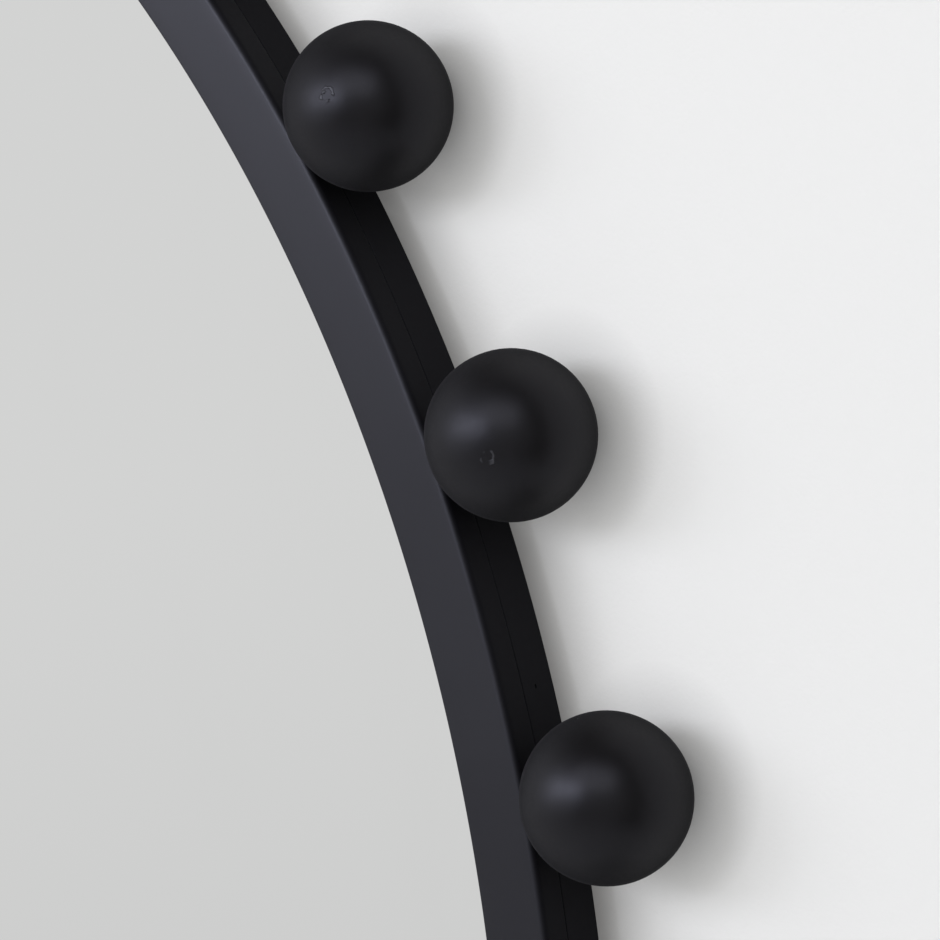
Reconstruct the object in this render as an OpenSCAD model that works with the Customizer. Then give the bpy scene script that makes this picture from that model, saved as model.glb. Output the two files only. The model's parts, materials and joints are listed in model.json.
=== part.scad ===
// Round wall mirror: a flat black ring frame with wooden balls pegged all round its edge.
// X runs to the viewer's right, Y into the wall and Z up. The origin is the middle of the
// mirror on the wall's surface, so every piece lies at a negative Y.

/* [Frame] */
// Outer diameter of the frame's two rings
frame_d = 834; // [700:2:950]
// Width of the front face, from its outer edge to the glass that shows
face_w = 18.25; // [15:0.25:26]
// Thickness of the lip that covers the edge of the glass
lip_t = 3; // [2.5:0.5:6]
// Thickness of the back ring
back_t = 11; // [9:0.5:20]
// Width of the back ring
rail_w = 50; // [48:1:70]
// Rounding of the front face's outer edge
edge_round = 1.5; // [0.5:0.1:2.5]
// Rounding of the front face's inner edge and of the back ring's outer edge
soft_round = 0.4; // [0.2:0.1:1.5]
// Chamfer that each ring has where the two meet at the side
seam_v = 0.25; // [0.1:0.05:0.6]
// Gap between the frame's back and the wall
standoff = 7.5; // [7:0.5:14]

/* [Balls] */
// Number of balls round the frame
ball_count = 32; // [24:2:32]
// Diameter of a ball
ball_d = 40; // [30:1:44]
// Depth of the balls' middle plane behind the front face
ball_depth = 6; // [4:0.25:6]
// Depth of the flat where a ball meets the frame's side
ball_flat = 0.3; // [0.2:0.1:1]
// Gap between that flat and the frame's side
ball_gap = 0.05; // [0.02:0.01:0.2]
// Diameter of the dowel that holds a ball
dowel_d = 3; // [2:0.5:3]
// Length of the dowel inside the frame
dowel_in = 9; // [6:0.5:9]
// Length of the dowel inside the ball
dowel_out = 12; // [6:0.5:14]
// Gap round the dowel and at its ends
dowel_clear = 0.05; // [0.02:0.01:0.1]

/* [Glass] */
// Thickness of the mirror glass
glass_t = 4; // [3:0.5:6]
// Width of glass that the lip covers
glass_bite = 6; // [5.5:0.5:7]
// Gap between the glass's edge and the rebate
glass_clear = 1; // [0.5:0.25:2]
// Thickness of the tape between the lip and the glass
tape_t = 1; // [0.5:0.25:2]
// Width of that tape
tape_w = 4; // [2:0.5:4.5]
// Distance of the tape from the lip's inner edge
tape_inset = 1; // [0.5:0.25:1]

/* [Back] */
// Thickness of the backing board
board_t = 3; // [2:0.5:5]
// Gap between the backing board's edge and its pocket
board_clear = 0.8; // [0.3:0.1:1.5]
// Width of the ledge that carries the backing board
ledge_w = 8; // [7:0.5:9]
// Gap between the packing sheet's edge and the back ring
pad_clear = 0.8; // [0.3:0.1:2]
// Number of screws that hold the backing board
board_screws = 12; // [6:1:18]
// Distance of the bumpers' middles from the frame's outer edge
bumper_inset = 21; // [18:0.5:26]
// Angles of the bumpers round the frame, from the right
bumper_angles = [60, 120, 240, 300];
// Diameter of a bumper where it is stuck to the frame
bumper_d = 16; // [10:1:20]
// Diameter of a bumper at the wall
bumper_tip_d = 14; // [8:1:20]

/* [Screws] */
// Number of gaps between balls from one ring screw to the next
screw_every = 2; // [1:1:4]
// Length of a ring screw, with its head
ring_screw_l = 15; // [13.5:0.5:15]
// Shank diameter of a ring screw
ring_screw_d = 3.5; // [2.5:0.5:4]
// Head diameter of a ring screw
ring_head_d = 6.5; // [5:0.5:7]
// Height of a ring screw's countersunk head
ring_head_h = 1.8; // [1:0.2:2.4]
// Length of a board screw under its head
board_screw_l = 8; // [6:0.5:9]
// Shank diameter of a board screw
board_screw_d = 2.5; // [2:0.5:3]
// Head diameter of a board screw
board_head_d = 6; // [4.5:0.5:7]
// Length of a hanger screw under its head
hanger_screw_l = 9.5; // [7:0.5:9.5]
// Shank diameter of a hanger screw
hanger_screw_d = 3.5; // [3:0.5:4]
// Head diameter of a hanger screw
hanger_head_d = 7; // [6:0.5:8]
// Height of the round heads
round_head_h = 2; // [1.4:0.2:2.6]
// Gap round every screw in its hole
screw_clear = 0.05; // [0.02:0.01:0.1]
// Width of the slots in a screw head's cross
cross_w = 0.9; // [0.6:0.1:1.2]
// Depth of that cross
cross_t = 1; // [0.6:0.1:1.2]

/* [Hangers] */
// Angle of each hanger above the level line through the middle
hanger_angle = 30; // [20:1:38]
// Distance of the hanger strap's middle from the frame's outer edge
hanger_inset = 27; // [22:0.5:28]
// Width of the hanger strap
strap_w = 10; // [8:0.5:12]
// Thickness of the hanger strap
strap_t = 1.2; // [0.8:0.1:1.5]
// Length of the hanger strap below the ring's pivot
strap_l = 38; // [36:1:44]
// Distance from the ring's pivot to the upper hanger screw
strap_hole = 21; // [20.5:0.5:22]
// Distance between the two hanger screws
strap_pitch = 10; // [8.5:0.5:11]
// Wire diameter of the hanging ring
wire_d = 3; // [2.5:0.1:3.2]
// Width inside the hanging ring
loop_w = 18; // [16:0.5:18]
// Straight length of the hanging ring's sides
loop_side = 2; // [1:0.25:2]
// Radius of the hanging ring's two square corners, at the middle of the wire
loop_bend = 2.5; // [2.2:0.1:3]
// Running gap between the hanging ring and its knuckle
knuckle_clear = 0.08; // [0.04:0.01:0.1]
// Extra height of the knuckle, which keeps the hanging ring off the strap
knuckle_lift = 0.3; // [0.25:0.05:0.6]

/* [Hidden] */
$fn = 96;
frame_r = frame_d / 2;
sight_r = frame_r - face_w;
glass_r = sight_r + glass_bite;
rebate_r = glass_r + glass_clear;
front_t = lip_t + tape_t + glass_t;
frame_t = front_t + back_t;
rail_r = frame_r - rail_w;
pocket_r = rail_r + ledge_w;
board_r = pocket_r - board_clear;
pad_t = back_t - board_t;
face_y = -standoff - frame_t;
back_y = -standoff;
ball_y = face_y + ball_depth;
ball_pitch = 360 / ball_count;
ball_r = ball_d / 2;
ball_ring_r = frame_r + ball_gap + ball_r - ball_flat;
ring_screw_r = (rebate_r + frame_r) / 2;
board_screw_r = rail_r + ledge_w / 2;
bumper_r = frame_r - bumper_inset;
wire_r = wire_d / 2;
bore_r = wire_r + knuckle_clear;
knuckle_r = bore_r + strap_t;
knuckle_off = knuckle_r + knuckle_lift;
hanger_x = (frame_r - hanger_inset) * cos(hanger_angle);
pivot_z = (frame_r - hanger_inset) * sin(hanger_angle) + strap_l / 2;
pivot_y = back_y + knuckle_off;
loop_r = loop_w / 2 + wire_r;
arc_steps = 6;
tip_l = 2;
end_gap = 0.3;
cut = 1;
sides = [["left", -1], ["right", 1]];

function ball_name(i) = str("ball_", i < 9 ? "0" : "", i + 1);
function bumper_name(i) = str("bumper_", i + 1);
function hanger_name(side) = str("hanger_strap_", side[0]);
function d_ring_name(side) = str("d_ring_", side[0]);

// Points of a round stretch of an outline, from one angle to another
function arc(centre, r, from, to) = [
    for (i = [0 : arc_steps])
        let (a = from + (to - from) * i / arc_steps)
        centre + r * [cos(a), sin(a)]
];

// Puts what is built upwards from z = 0 on the mirror's axis, going back from depth d
module at_depth(d) {
    translate([0, face_y + d, 0])
        rotate([-90, 0, 0])
            children();
}

// Puts what is built along +Z at the frame's middle on the radius at an angle, pointing outwards
module on_radius(angle, r, y) {
    translate([r * cos(angle), y, r * sin(angle)])
        rotate([0, 90 - angle, 0])
            children();
}

// Puts what is built along +Z on the circle of radius r, pointing into the wall from plane y
module on_circle(angle, r, y) {
    translate([r * cos(angle), y, r * sin(angle)])
        rotate([-90, 0, 0])
            children();
}

module at_ring_screws() {
    for (k = [0 : floor(ball_count / screw_every) - 1])
        on_circle(90 - (k * screw_every + 0.5) * ball_pitch, ring_screw_r, back_y)
            children();
}

module at_board_screws() {
    for (k = [0 : board_screws - 1])
        on_circle(90 - (k + 0.5) * 360 / board_screws, board_screw_r, back_y)
            children();
}

module at_hanger_screws(side) {
    for (k = [0, 1])
        translate([side[1] * hanger_x, back_y + strap_t, pivot_z - strap_hole - k * strap_pitch])
            rotate([-90, 0, 0])
                children();
}

// The cross in a screw head, cut down from z = 0
module cross(top) {
    for (turn = [0, 90])
        rotate([0, 0, turn])
            translate([-top * 0.3, -cross_w / 2, -cross_t])
                cube([top * 0.6, cross_w, cross_t + cut]);
}

// A screw's shank and point, hanging down from z = 0
module shank(d, length) {
    translate([0, 0, tip_l - length])
        cylinder(d = d, h = length - tip_l);
    translate([0, 0, -length])
        cylinder(d1 = d / 4, d2 = d, h = tip_l);
}

// The hole that a shank needs, open at z = 0
module pilot(d, length) {
    translate([0, 0, -length - end_gap])
        cylinder(d = d + 2 * screw_clear, h = length + end_gap + cut);
}

module flat_screw(d, length, head_d, head_h) {
    difference() {
        union() {
            translate([0, 0, -head_h])
                cylinder(d1 = d, d2 = head_d, h = head_h);
            shank(d, length);
        }
        cross(head_d);
    }
}

module flat_screw_hole(d, length, head_d, head_h) {
    pilot(d, length);
    translate([0, 0, -head_h])
        cylinder(d1 = d + 2 * screw_clear, d2 = head_d + 2 * screw_clear, h = head_h);
    cylinder(d = head_d + 2 * screw_clear, h = cut);
}

module round_screw(d, length, head_d) {
    difference() {
        union() {
            shank(d, length);
            cylinder(d = head_d, h = round_head_h / 2);
            translate([0, 0, round_head_h / 2])
                cylinder(d1 = head_d, d2 = head_d * 0.6, h = round_head_h / 2);
        }
        translate([0, 0, round_head_h])
            cross(head_d);
    }
}

module front_ring() {
    outline = concat(
        arc([sight_r + soft_round, soft_round], soft_round, 180, 270),
        arc([frame_r - edge_round, edge_round], edge_round, 270, 360),
        [
            [frame_r, front_t - seam_v],
            [frame_r - seam_v, front_t],
            [rebate_r, front_t],
            [rebate_r, lip_t],
            [sight_r, lip_t]
        ]
    );
    color("#2b2a2d")
        difference() {
            at_depth(0)
                rotate_extrude()
                    polygon(outline);
            for (i = [0 : ball_count - 1])
                on_radius(90 - i * ball_pitch, frame_r - dowel_in - dowel_clear, ball_y)
                    cylinder(d = dowel_d + 2 * dowel_clear, h = dowel_in + dowel_clear + cut);
            at_ring_screws()
                pilot(ring_screw_d, ring_screw_l);
        }
}

module back_ring() {
    outline = concat(
        [
            [rail_r, front_t],
            [frame_r - seam_v, front_t],
            [frame_r, front_t + seam_v]
        ],
        arc([frame_r - soft_round, frame_t - soft_round], soft_round, 0, 90),
        [
            [pocket_r, frame_t],
            [pocket_r, frame_t - board_t],
            [rail_r, frame_t - board_t]
        ]
    );
    color("#1f1e20")
        difference() {
            at_depth(0)
                rotate_extrude()
                    polygon(outline);
            at_ring_screws()
                flat_screw_hole(ring_screw_d, ring_screw_l, ring_head_d, ring_head_h);
            at_board_screws()
                pilot(board_screw_d, board_screw_l);
            for (side = sides)
                at_hanger_screws(side)
                    pilot(hanger_screw_d, hanger_screw_l + strap_t);
        }
}

module mirror_glass() {
    color("#d4d5d6")
        at_depth(lip_t + tape_t)
            cylinder(r = glass_r, h = glass_t);
}

module glazing_tape() {
    color("#18181a")
        at_depth(lip_t)
            difference() {
                cylinder(r = sight_r + tape_inset + tape_w, h = tape_t);
                translate([0, 0, -cut])
                    cylinder(r = sight_r + tape_inset, h = tape_t + 2 * cut);
            }
}

module packing_sheet() {
    color("#b89a72")
        at_depth(front_t)
            cylinder(r = rail_r - pad_clear, h = pad_t);
}

module backing_board() {
    color("#6f5238")
        difference() {
            at_depth(frame_t - board_t)
                cylinder(r = board_r, h = board_t);
            at_board_screws()
                pilot(board_screw_d, board_screw_l);
        }
}

module ball(i) {
    color("#2a292b")
        on_radius(90 - i * ball_pitch, ball_ring_r, ball_y)
            difference() {
                sphere(r = ball_r);
                translate([-ball_r, -ball_r, -2 * ball_r - cut])
                    cube([ball_d, ball_d, ball_r + cut + ball_flat]);
                translate([0, 0, -ball_r - cut])
                    cylinder(
                        d = dowel_d + 2 * dowel_clear,
                        h = cut + ball_flat - ball_gap + dowel_out + dowel_clear
                    );
            }
}

module ball_dowels() {
    color("#9a9a9c")
        for (i = [0 : ball_count - 1])
            on_radius(90 - i * ball_pitch, frame_r - dowel_in, ball_y)
                cylinder(d = dowel_d, h = dowel_in + dowel_out);
}

module ring_screws() {
    color("#8e8c86")
        at_ring_screws()
            flat_screw(ring_screw_d, ring_screw_l, ring_head_d, ring_head_h);
}

module board_screws() {
    color("#8e8c86")
        at_board_screws()
            round_screw(board_screw_d, board_screw_l, board_head_d);
}

module hanger_screws() {
    color("#8e8c86")
        for (side = sides)
            at_hanger_screws(side)
                round_screw(hanger_screw_d, hanger_screw_l + strap_t, hanger_head_d);
}

module hanger_strap(side) {
    color("#a3a5a8")
        difference() {
            union() {
                translate([side[1] * hanger_x - strap_w / 2, back_y, pivot_z - strap_l])
                    cube([strap_w, strap_t, strap_l]);
                translate([side[1] * hanger_x - strap_w / 2, back_y, pivot_z - knuckle_r])
                    cube([strap_w, knuckle_off, knuckle_r]);
                translate([side[1] * hanger_x - strap_w / 2, pivot_y, pivot_z])
                    rotate([0, 90, 0])
                        cylinder(r = knuckle_r, h = strap_w);
            }
            translate([side[1] * hanger_x - strap_w / 2 - cut, pivot_y, pivot_z])
                rotate([0, 90, 0])
                    cylinder(r = bore_r, h = strap_w + 2 * cut);
            at_hanger_screws(side)
                pilot(hanger_screw_d, hanger_screw_l + strap_t);
        }
}

// A stretch of bent wire, in the plane of the ring, from angle 0 on by the sweep
module wire_bend(r, sweep) {
    rotate_extrude(angle = sweep)
        translate([r, 0])
            circle(r = wire_r);
}

module d_ring(side) {
    color("#b4b6b9")
        translate([side[1] * hanger_x, pivot_y, pivot_z])
            rotate([90, 0, 0]) {
                translate([loop_bend - loop_r, 0, 0])
                    rotate([0, 90, 0])
                        cylinder(r = wire_r, h = 2 * (loop_r - loop_bend));
                for (hand = [0, 1])
                    mirror([hand, 0, 0]) {
                        translate([loop_r - loop_bend, -loop_bend, 0])
                            wire_bend(loop_bend, 90);
                        translate([loop_r, -loop_bend, 0])
                            rotate([90, 0, 0])
                                cylinder(r = wire_r, h = loop_side);
                    }
                translate([0, -loop_bend - loop_side, 0])
                    rotate([0, 0, 180])
                        wire_bend(loop_r, 180);
            }
}

module bumper(i) {
    color("#3a3a3c")
        on_circle(bumper_angles[i], bumper_r, back_y)
            cylinder(d1 = bumper_d, d2 = bumper_tip_d, h = standoff);
}

front_ring();
back_ring();
mirror_glass();
glazing_tape();
packing_sheet();
backing_board();
for (i = [0 : ball_count - 1])
    ball(i);
ball_dowels();
ring_screws();
board_screws();
hanger_screws();
for (side = sides) {
    hanger_strap(side);
    d_ring(side);
}
for (i = [0 : len(bumper_angles) - 1])
    bumper(i);
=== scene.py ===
"""Dresses the round ball mirror: turned rings, painted balls, silvered glass, and the fittings at its back.

Everything is in metres, in the part's own frame: X to the viewer's right, Y into the wall, Z up.
"""
import json
from math import atan2, cos, pi, radians, sin, sqrt
from random import Random

import bmesh
import bpy
from bpy.props import FloatProperty, FloatVectorProperty, IntProperty, PointerProperty
from mathutils import Matrix, Vector


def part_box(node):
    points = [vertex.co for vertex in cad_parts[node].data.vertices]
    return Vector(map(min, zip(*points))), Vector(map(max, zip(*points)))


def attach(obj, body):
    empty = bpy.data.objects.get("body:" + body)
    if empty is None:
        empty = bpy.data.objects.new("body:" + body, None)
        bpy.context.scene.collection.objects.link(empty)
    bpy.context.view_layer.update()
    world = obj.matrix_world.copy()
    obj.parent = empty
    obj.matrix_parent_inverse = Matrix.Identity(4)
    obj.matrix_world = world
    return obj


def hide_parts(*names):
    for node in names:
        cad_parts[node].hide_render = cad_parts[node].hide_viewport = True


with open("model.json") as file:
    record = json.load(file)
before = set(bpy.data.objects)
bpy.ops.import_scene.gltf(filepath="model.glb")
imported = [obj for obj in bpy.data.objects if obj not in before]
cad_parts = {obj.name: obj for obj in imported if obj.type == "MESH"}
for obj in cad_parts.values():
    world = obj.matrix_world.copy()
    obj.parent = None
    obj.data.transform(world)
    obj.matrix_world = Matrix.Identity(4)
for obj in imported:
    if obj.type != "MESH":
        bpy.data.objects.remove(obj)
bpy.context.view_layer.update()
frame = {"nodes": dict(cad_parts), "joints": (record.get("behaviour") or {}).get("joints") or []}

bl_info = {
    "name": "Round Ball Mirror",
    "version": (1, 0, 0),
    "blender": (4, 5, 0),
    "location": "View3D > Sidebar > Ball Mirror",
    "description": "Builds a round wall mirror with a black ring frame and balls all round its edge",
    "category": "Object",
}

MM = 0.001
BODY = "mirror"
SIDES = ("left", "right")
SEED = 7

# Places and sizes that the frame gives
FRONT_LO, FRONT_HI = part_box("front_ring")
BOARD_LO, BOARD_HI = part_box("backing_board")
BACK_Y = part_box("back_ring")[1].y
LIP_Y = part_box("glazing_tape")[0].y
GLASS_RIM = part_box("mirror_glass")[1].x
SHEET_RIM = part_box("packing_sheet")[1].x
BALL_NODES = sorted(name for name in frame["nodes"] if name[:5] == "ball_" and name[5:].isdigit())
BUMPER_NODES = sorted(name for name in frame["nodes"] if name.startswith("bumper_"))
TOP_BALL_LO, TOP_BALL_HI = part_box(BALL_NODES[0])
PIVOTS = {joint["child"]: Vector(joint["pos_m"]) for joint in frame["joints"]}

RIM = FRONT_HI.x
FACE_Y = FRONT_LO.y
SEAM_Y = FRONT_HI.y
BALL_R = (TOP_BALL_HI.y - TOP_BALL_LO.y) / 2
BALL_Y = (TOP_BALL_HI.y + TOP_BALL_LO.y) / 2
BALL_CIRCLE = TOP_BALL_HI.z - BALL_R
BALL_FLAT = TOP_BALL_LO.z - (BALL_CIRCLE - BALL_R)

# Gaps that the pieces keep from each other in the frame
GLASS_GAP = 1 * MM
SHEET_GAP = 0.8 * MM
BOARD_GAP = 0.8 * MM

# The seam between the rings: how deep it shows, the rounding of its edges, and the seed of its wander
SEAM_DEPTH = 1.3 * MM
SEAM_EDGE = 0.22 * MM
SEAM_SEED = 3.0

# The slit pin holes at the rings' side: how many, the angle of the one that shows, and their depth
PIN_COUNT = 8
PIN_ANGLE = 15.0
PIN_DEPTH = 12.6 * MM

# The fittings at the back: a round head's height, how deep a flat head is sunk, and the folded straps
HEAD_HEIGHT = 2 * MM
HEAD_SUNK = 0.25 * MM
STRAP_THICK = 1.2 * MM
STRAP_CORNER = 3 * MM
STRAP_BEND = 3.6 * MM

# Filler marks on the balls that show: ball number, and the direction from its middle to the mark
FILLER_MARKS = {6: (0.24, -0.96, 0.17), 7: (0.404, -0.90, -0.133)}

# Where the nick is, seen from the middle of a filler mark
NICK = (-1.0 * MM, 0.3 * MM, 0.6 * MM)

# How strongly the paint shines on the face, on the drier coat of the rings' sides, and on the balls
FACE_LEVEL = 0.34
DRY_LEVEL = 0.11
BALL_LEVEL = 0.26

# How much smoother than its setting the paint is on the face and on the balls
FACE_SMOOTHER = 0.07
BALL_SMOOTHER = 0.09

# How much rougher the paint's gloss looks at a slant, and its cool tint where it is seen from straight on
SLANT_DULLING = 0.9
PAINT_TINT = (0.88, 0.88, 1.0, 1)

# Tones that the finishes have besides the ones in the settings
PALER_PAINT = (0.008, 0.008, 0.0085, 1)
DUST = (0.11, 0.11, 0.11, 1)
FILLER = (0.07, 0.07, 0.075, 1)
DARK_FIBREBOARD = (0.16, 0.10, 0.055, 1)
DARK_HARDBOARD = (0.07, 0.035, 0.018, 1)
DARK_CARD = (0.30, 0.20, 0.12, 1)
DULL_ZINC = (0.33, 0.32, 0.30, 1)
STEEL = (0.5, 0.5, 0.51, 1)
FOAM = (0.02, 0.02, 0.02, 1)

# The camera of the photograph
CAMERA_PLACE = (1.01528, -0.73558, 0.26619)
CAMERA_AZIMUTH = 41.136
CAMERA_ELEVATION = 6.470
CAMERA_ROLL = -2.012
CAMERA_LENS = 158.296
SENSOR_WIDTH = 36
VIEW_CENTRE = Vector((0.396, FACE_Y, 0.159))

# The soft lamps: what they shine at, their azimuth, elevation, distance, width and height, and their colour
LAMPS = {
    "key": (VIEW_CENTRE, (-17, 16.5, 2.4, 1.7, 0.72), (0.85, 0.88, 1.0)),
    "fill": (VIEW_CENTRE, (-43, 11, 2.3, 0.95, 0.55), (0.85, 0.88, 1.0)),
    "top": (VIEW_CENTRE, (20, 36, 2.8, 3.0, 1.6), (0.93, 0.94, 1.0)),
    "rear": (Vector((0, 0, 0)), (164, 24, 3.0, 1.2, 1.2), (1.0, 1.0, 1.0)),
}

# The pale part of the room, which the glass shows: the way to its middle, and the cosines of its two edges
PALE_SIDE = Vector((-0.74, -0.67, -0.05)).normalized()
PALE_EDGES = (0.52, 0.90)

# How it darkens downward: the heights where that ends and starts, and what it is multiplied by there
PALE_FADE = (-0.25, -0.10, 0.945, 1.0)

# The part of the room behind the camera, in the same way
CAMERA_SIDE = Vector((0.64, -0.76, 0.14)).normalized()
CAMERA_EDGES = (0.75, 0.97)

# The wall and the floor: how far they reach, the floor's depth, the wall's place and the radius of its hole
WALL_REACH = 2.4
FLOOR_DEPTH = 4.0
WALL_Y = 0.2 * MM
WALL_HOLE = 0.398

# How much the floor glows, how far from the object its glow and the wall's start to fade, and how fast: the
# glow is painted light, and its fade near the object is painted shade
FLOOR_GLOW = 0.30
GLOW_REACH = 15.5 * MM
GLOW_FADE = 0.9


# Settings

def a_length(name, description, default):
    """A length, in metres."""
    return FloatProperty(name=name, description=description, default=default, unit="LENGTH")


def a_power(name, description, default):
    """A lamp's power, in watts."""
    return FloatProperty(name=name, description=description, default=default, unit="POWER")


def a_share(name, description, default):
    """A number from 0 to 1."""
    return FloatProperty(name=name, description=description, default=default, min=0, max=1)


def a_colour(name, description, *default):
    """An opaque colour."""
    return FloatVectorProperty(
        name=name, description=description, default=(*default, 1), size=4, min=0, max=1, subtype="COLOR"
    )


class FrameSettings(bpy.types.PropertyGroup):
    """Sizes of the two rings."""

    face_width: a_length("Face Width", "Width of the front face", 18.25 * MM)
    edge_round: a_length("Outer Rounding", "Rounding of the face's outer edge", 1.5 * MM)
    soft_round: a_length("Soft Rounding", "Rounding of the other edges that show", 0.4 * MM)
    crown: a_length("Crown", "How far the face dips beside its edges", 0.07 * MM)
    seam_gap: a_length("Seam Gap", "Gap that shows between the rings", 0.16 * MM)
    seam_wander: a_length("Seam Wander", "How much that gap varies round the frame", 0.1 * MM)
    steps: IntProperty(name="Steps", description="Facets round a ring", default=720, min=96, max=1440)


class BallSettings(bpy.types.PropertyGroup):
    """Shape of the balls."""

    uneven: a_length("Uneven", "How far the sanding leaves a ball from round", 0.04 * MM)
    mark_size: a_length("Mark Size", "Radius of the filler mark on a ball", 2.5 * MM)
    detail: IntProperty(name="Detail", description="Subdivisions of a ball", default=5, min=3, max=6)


class FinishSettings(bpy.types.PropertyGroup):
    """Colours and surfaces of the finishes."""

    ring_colour: a_colour("Ring Paint", "Colour of the paint on the rings", 0.0045, 0.0042, 0.0054)
    ball_colour: a_colour("Ball Paint", "Colour of the paint on the balls", 0.0042, 0.0036, 0.0034)
    paint_roughness: a_share("Paint Roughness", "Roughness of the satin paint", 0.46)
    silver_colour: a_colour("Silvering", "Colour of the silvered glass", 0.88, 0.885, 0.885)
    board_colour: a_colour("Hardboard", "Colour of the backing board", 0.22, 0.125, 0.065)
    fibre_colour: a_colour("Raw Fibreboard", "Colour of the back ring where it is bare", 0.36, 0.25, 0.155)
    card_colour: a_colour("Card", "Colour of the packing sheet", 0.50, 0.36, 0.22)
    zinc_colour: a_colour("Zinc", "Colour of the screws and hangers", 0.56, 0.56, 0.54)
    rubber_colour: a_colour("Rubber", "Colour of the bumpers", 0.045, 0.045, 0.047)


class StageSettings(bpy.types.PropertyGroup):
    """The wall, the floor and the light."""

    wall_colour: a_colour("Wall", "Colour of the wall", 0.45, 0.444, 0.417)
    wall_glow: a_share("Wall Glow", "How much paler the wall is than its light makes it", 0.37)
    floor_colour: a_colour("Floor", "Colour of the floor", 0.62, 0.62, 0.61)
    floor_drop: a_length("Floor Drop", "Height of the mirror's middle over the floor", 1.0)
    key_watts: a_power("Key Lamp", "Power of the broad lamp at the left", 26.5)
    fill_watts: a_power("Fill Lamp", "Power of the small lamp farther to the left", 9.0)
    top_watts: a_power("Top Lamp", "Power of the weak lamp above", 33.0)
    rear_watts: a_power("Rear Lamp", "Power of the lamp behind the wall", 100.0)
    room_pale: a_colour("Pale Side", "Light that comes from the pale side of the room", 0.735, 0.735, 0.730)
    room_dark: a_colour("Dark Side", "Light that comes from the dark side of the room", 0.045, 0.045, 0.045)
    room_near: a_colour("Near Side", "Light that comes from behind the camera", 0.55, 0.55, 0.55)
    backdrop: a_colour("Backdrop", "Plain background", 0.82, 0.82, 0.82)


# Help with node trees

def add(tree, kind, settings=None, inputs=None):
    """Adds a node. An input is a plain value, or the socket that it is linked to."""
    node = tree.nodes.new(kind)
    for name, value in (settings or {}).items():
        setattr(node, name, value)
    for name, value in (inputs or {}).items():
        join(tree, value, node.inputs[name])
    return node


def shape(tree, kind, settings=None, **inputs):
    """Adds a geometry node, and returns its outputs. In an input's name, _ stands for a space."""
    inputs = {name.replace("_", " "): value for name, value in inputs.items()}
    return add(tree, "GeometryNode" + kind, settings, inputs).outputs


def join(tree, value, socket):
    """Links a socket to another one, or sets its value."""
    if isinstance(value, bpy.types.NodeSocket):
        tree.links.new(value, socket)
    else:
        socket.default_value = value


def maths(tree, operation, *values):
    """One Math node, and its result."""
    return add(tree, "ShaderNodeMath", {"operation": operation}, dict(enumerate(values))).outputs[0]


def plus(tree, first, second):
    """The sum of two numbers."""
    return maths(tree, "ADD", first, second)


def minus(tree, first, second):
    """The difference of two numbers."""
    return maths(tree, "SUBTRACT", first, second)


def times(tree, first, second):
    """The product of two numbers."""
    return maths(tree, "MULTIPLY", first, second)


def over(tree, first, second):
    """One number divided by another."""
    return maths(tree, "DIVIDE", first, second)


def vectors(tree, operation, *values):
    """One Vector Math node, and its result: a number where the operation gives one."""
    node = add(tree, "ShaderNodeVectorMath", {"operation": operation}, dict(enumerate(values)))
    return node.outputs["Value" if operation in ("DOT_PRODUCT", "DISTANCE") else "Vector"]


def scaled(tree, vector, factor):
    """A vector or colour times a number."""
    inputs = {0: vector, "Scale": factor}
    return add(tree, "ShaderNodeVectorMath", {"operation": "SCALE"}, inputs).outputs["Vector"]


def parts(tree, vector):
    """A vector's X, Y and Z."""
    return add(tree, "ShaderNodeSeparateXYZ", None, {"Vector": vector}).outputs


def vector_of(tree, **values):
    """A vector of an X, Y and Z, which are 0 where they aren't given."""
    return add(tree, "ShaderNodeCombineXYZ", None, values).outputs[0]


def place_on(tree):
    """The place on the object, in metres."""
    return add(tree, "ShaderNodeTexCoord").outputs["Object"]


def ramp(tree, value, low, high, to_low=0.0, to_high=1.0, kind="SMOOTHSTEP"):
    """A value turned smoothly from one range into another."""
    inputs = {"Value": value, "From Min": low, "From Max": high, "To Min": to_low, "To Max": to_high}
    return add(tree, "ShaderNodeMapRange", {"interpolation_type": kind}, inputs).outputs["Result"]


def mixed(tree, factor, first, second):
    """Two colours mixed by a factor."""
    node = add(tree, "ShaderNodeMix", {"data_type": "RGBA"}, {0: factor, 6: first, 7: second})
    return node.outputs[2]


def noise(tree, where, size, detail=2.0, roughness=0.5, warp=0.0):
    """Noise whose patches have a real size, in metres."""
    scale = 1 / size if isinstance(size, float) else over(tree, 1.0, size)
    inputs = {"Vector": where, "Scale": scale, "Detail": detail, "Roughness": roughness, "Distortion": warp}
    return add(tree, "ShaderNodeTexNoise", None, inputs).outputs["Fac"]


def emboss(tree, height, depth, normal, **more):
    """Joins the normal of a bump to a socket."""
    node = add(tree, "ShaderNodeBump", None, {"Height": height, "Distance": depth, **more})
    join(tree, node.outputs["Normal"], normal)


def new_group(name, kind, inputs, outputs):
    """A node group, and its input and output sockets. An input's value or a word gives its kind."""
    tree = bpy.data.node_groups.new(name, kind)
    for label, value in inputs.items():
        socket_type = "NodeSocket" + socket_kind(value)
        socket = tree.interface.new_socket(label, in_out="INPUT", socket_type=socket_type)
        if not isinstance(value, str):
            socket.default_value = value
    for label, word in outputs.items():
        tree.interface.new_socket(label, in_out="OUTPUT", socket_type="NodeSocket" + word)
    return tree, tree.nodes.new("NodeGroupInput").outputs, tree.nodes.new("NodeGroupOutput").inputs


def socket_kind(value):
    """The kind of socket that holds a value. A word is a kind by itself."""
    if isinstance(value, str):
        return value
    if isinstance(value, tuple):
        return {3: "Vector", 4: "Color"}[len(value)]
    return {int: "Int", float: "Float"}[type(value)]


def new_skin(name, inputs):
    """A shader group that gives a finish its colour, roughness and normal."""
    outputs = {"Colour": "Color", "Roughness": "Float", "Normal": "Vector"}
    return new_group(name, "ShaderNodeTree", inputs, outputs)


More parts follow.
